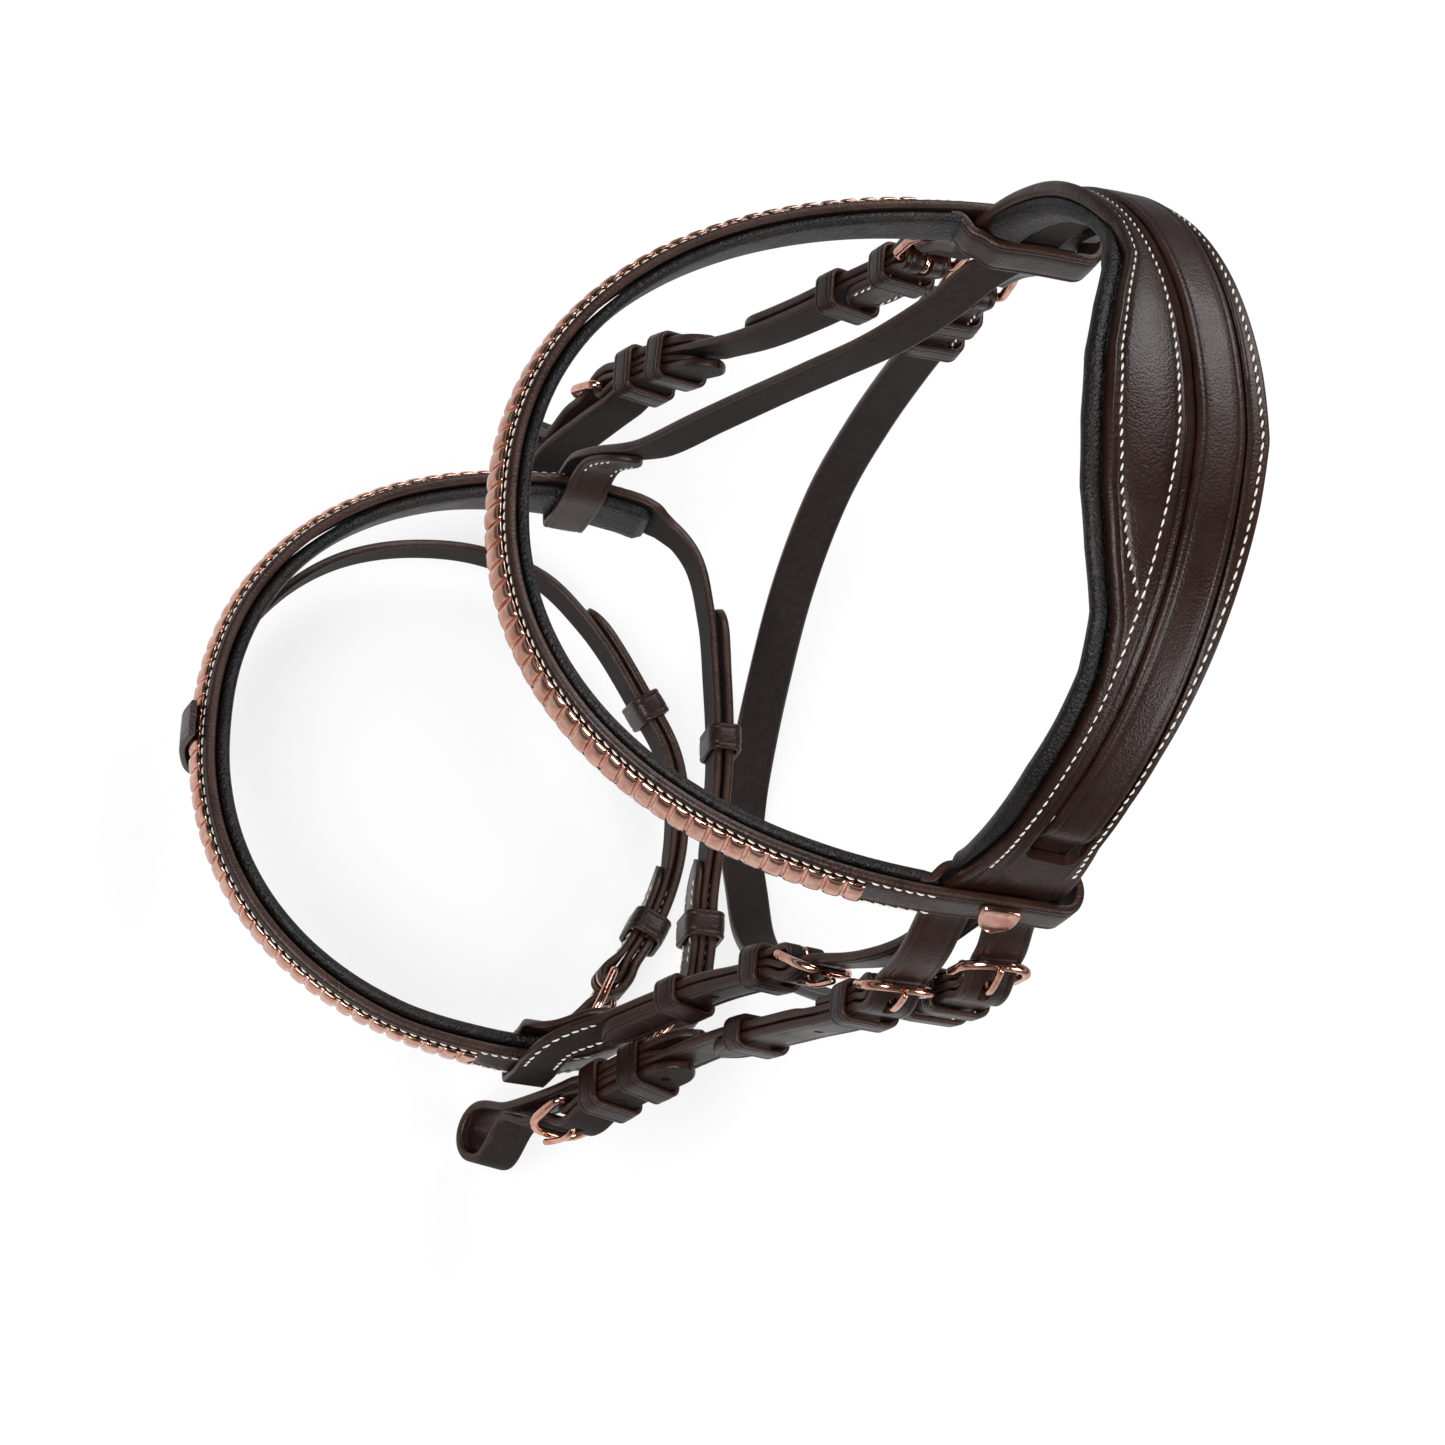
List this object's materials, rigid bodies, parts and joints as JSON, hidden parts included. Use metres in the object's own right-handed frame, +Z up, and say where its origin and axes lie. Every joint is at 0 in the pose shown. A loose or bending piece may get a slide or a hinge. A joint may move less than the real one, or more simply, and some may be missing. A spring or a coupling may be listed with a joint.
{
  "type": "horse bridle",
  "caption": "Bridle as worn: padded headpiece, clincher browband, sliphead with padded flash noseband, throatlash, and cheekpieces that buckle to bit straps.",
  "frame": {"origin": "middle of the headpiece padding's underside, where the crown rests on the poll", "axes": "+X towards the horse's near (left) side, -Y towards its forehead and nose, +Z up"},
  "size_m": [0.2679, 0.2337, 0.4187],
  "materials": {
    "havana_leather": "satin",
    "black_soft_leather": "matt, finely grained",
    "rose_gold_metal": "polished"
  },
  "bodies": {
    "bridle": {"headpiece_leather": "havana_leather", "headpiece_padding": "black_soft_leather", "sliphead_strap": "havana_leather", "browband_strap": "havana_leather", "browband_padding": "black_soft_leather", "browband_clinchers": "rose_gold_metal", "near_browband_badge": "rose_gold_metal", "near_cheek_strap": "havana_leather", "near_cheek_buckle_frame": "rose_gold_metal", "near_cheek_fixed_keeper": "havana_leather", "near_bit_strap": "havana_leather", "near_bit_buckle_frame": "rose_gold_metal", "near_bit_fixed_keeper": "havana_leather", "near_throat_buckle_frame": "rose_gold_metal", "near_throat_fixed_keeper": "havana_leather", "off_cheek_strap": "havana_leather", "off_cheek_buckle_frame": "rose_gold_metal", "off_cheek_fixed_keeper": "havana_leather", "off_bit_strap": "havana_leather", "off_bit_buckle_frame": "rose_gold_metal", "off_bit_fixed_keeper": "havana_leather", "off_throat_buckle_frame": "rose_gold_metal", "off_throat_fixed_keeper": "havana_leather", "throatlash_strap": "havana_leather", "near_hanger_strap": "havana_leather", "near_hanger_buckle_frame": "rose_gold_metal", "near_hanger_fixed_keeper": "havana_leather", "noseband_strap": "havana_leather", "noseband_padding": "black_soft_leather", "noseband_clinchers": "rose_gold_metal", "chin_buckle_frame": "rose_gold_metal", "chin_fixed_keeper": "havana_leather", "flash_strap": "havana_leather", "flash_loop": "havana_leather", "flash_buckle_frame": "rose_gold_metal", "flash_fixed_keeper": "havana_leather"},
    "chin_buckle_tongue": {"chin_buckle_tongue": "rose_gold_metal"},
    "chin_sliding_keeper": {"chin_sliding_keeper": "havana_leather"},
    "flash_buckle_tongue": {"flash_buckle_tongue": "rose_gold_metal"},
    "flash_sliding_keeper": {"flash_sliding_keeper": "havana_leather"},
    "near_bit_buckle_tongue": {"near_bit_buckle_tongue": "rose_gold_metal"},
    "near_bit_sliding_keeper": {"near_bit_sliding_keeper": "havana_leather"},
    "near_cheek_buckle_tongue": {"near_cheek_buckle_tongue": "rose_gold_metal"},
    "near_cheek_sliding_keeper": {"near_cheek_sliding_keeper": "havana_leather"},
    "near_hanger_buckle_tongue": {"near_hanger_buckle_tongue": "rose_gold_metal"},
    "near_hanger_sliding_keeper": {"near_hanger_sliding_keeper": "havana_leather"},
    "near_throat_buckle_tongue": {"near_throat_buckle_tongue": "rose_gold_metal"},
    "near_throat_sliding_keeper": {"near_throat_sliding_keeper": "havana_leather"},
    "off_bit_buckle_tongue": {"off_bit_buckle_tongue": "rose_gold_metal"},
    "off_bit_sliding_keeper": {"off_bit_sliding_keeper": "havana_leather"},
    "off_cheek_buckle_tongue": {"off_cheek_buckle_tongue": "rose_gold_metal"},
    "off_cheek_sliding_keeper": {"off_cheek_sliding_keeper": "havana_leather"},
    "off_throat_buckle_tongue": {"off_throat_buckle_tongue": "rose_gold_metal"},
    "off_throat_sliding_keeper": {"off_throat_sliding_keeper": "havana_leather"}
  },
  "joints": [
    {"name": "chin_tongue_hinge", "type": "hinge", "parent": "bridle", "child": "chin_buckle_tongue", "pos_m": [0.07419, -0.025, -0.33898], "axis": [0.0216, -0.0704, 0.9973], "range_deg": [0, 12]},
    {"name": "chin_keeper_slide", "type": "slide", "parent": "bridle", "child": "chin_sliding_keeper", "axis": [0.9987, 0.051, 0.0056], "range_m": [-0.003, 0.003]},
    {"name": "flash_tongue_hinge", "type": "hinge", "parent": "bridle", "child": "flash_buckle_tongue", "pos_m": [0.0514, -0.03683, -0.39043], "axis": [-0.1178, 0.0376, 0.9923], "range_deg": [0, 12]},
    {"name": "flash_keeper_slide", "type": "slide", "parent": "bridle", "child": "flash_sliding_keeper", "axis": [0.8019, 0.5955, -0.0481], "range_m": [-0.003, 0.003]},
    {"name": "near_bit_tongue_hinge", "type": "hinge", "parent": "bridle", "child": "near_bit_buckle_tongue", "pos_m": [0.11169, -0.05496, -0.34312], "axis": [-0.0357, -0.9397, 0.3402], "range_deg": [0, 12]},
    {"name": "near_bit_keeper_slide", "type": "slide", "parent": "bridle", "child": "near_bit_sliding_keeper", "axis": [0.1526, -0.4192, -0.895], "range_m": [-0.003, 0.003]},
    {"name": "near_cheek_tongue_hinge", "type": "hinge", "parent": "bridle", "child": "near_cheek_buckle_tongue", "pos_m": [0.11334, -0.00848, -0.17458], "axis": [-0.0015, 0.9992, -0.039], "range_deg": [0, 12]},
    {"name": "near_cheek_keeper_slide", "type": "slide", "parent": "bridle", "child": "near_cheek_sliding_keeper", "axis": [-0.0921, -0.2262, -0.9697], "range_m": [-0.003, 0.003]},
    {"name": "near_hanger_tongue_hinge", "type": "hinge", "parent": "bridle", "child": "near_hanger_buckle_tongue", "pos_m": [0.09224, -0.02157, -0.22092], "axis": [-0.0568, 0.9479, -0.3135], "range_deg": [0, 12]},
    {"name": "near_hanger_keeper_slide", "type": "slide", "parent": "bridle", "child": "near_hanger_sliding_keeper", "axis": [-0.1148, 0.4225, 0.8991], "range_m": [-0.003, 0.003]},
    {"name": "near_throat_tongue_hinge", "type": "hinge", "parent": "bridle", "child": "near_throat_buckle_tongue", "pos_m": [0.11246, 0.01363, -0.1527], "axis": [-0.0007, 0.9996, 0.0281], "range_deg": [0, 12]},
    {"name": "near_throat_keeper_slide", "type": "slide", "parent": "bridle", "child": "near_throat_sliding_keeper", "axis": [-0.1967, 0, -0.9805], "range_m": [-0.003, 0.003]},
    {"name": "off_bit_tongue_hinge", "type": "hinge", "parent": "bridle", "child": "off_bit_buckle_tongue", "pos_m": [-0.13365, -0.06295, -0.32895], "axis": [0.0182, 0.9618, -0.2732], "range_deg": [0, 12]},
    {"name": "off_bit_keeper_slide", "type": "slide", "parent": "bridle", "child": "off_bit_sliding_keeper", "axis": [-0.1498, -0.2715, -0.9507], "range_m": [-0.003, 0.003]},
    {"name": "off_cheek_tongue_hinge", "type": "hinge", "parent": "bridle", "child": "off_cheek_buckle_tongue", "pos_m": [-0.11908, -0.01227, -0.16007], "axis": [0.0215, -0.9936, 0.1105], "range_deg": [0, 12]},
    {"name": "off_cheek_keeper_slide", "type": "slide", "parent": "bridle", "child": "off_cheek_sliding_keeper", "axis": [-0.0277, -0.3082, -0.9509], "range_m": [-0.003, 0.003]},
    {"name": "off_throat_tongue_hinge", "type": "hinge", "parent": "bridle", "child": "off_throat_buckle_tongue", "pos_m": [-0.12068, 0.01, -0.17958], "axis": [-0.0036, -0.9996, -0.0275], "range_deg": [0, 12]},
    {"name": "off_throat_keeper_slide", "type": "slide", "parent": "bridle", "child": "off_throat_sliding_keeper", "axis": [0.0138, -0.0298, 0.9995], "range_m": [-0.003, 0.003]}
  ]
}
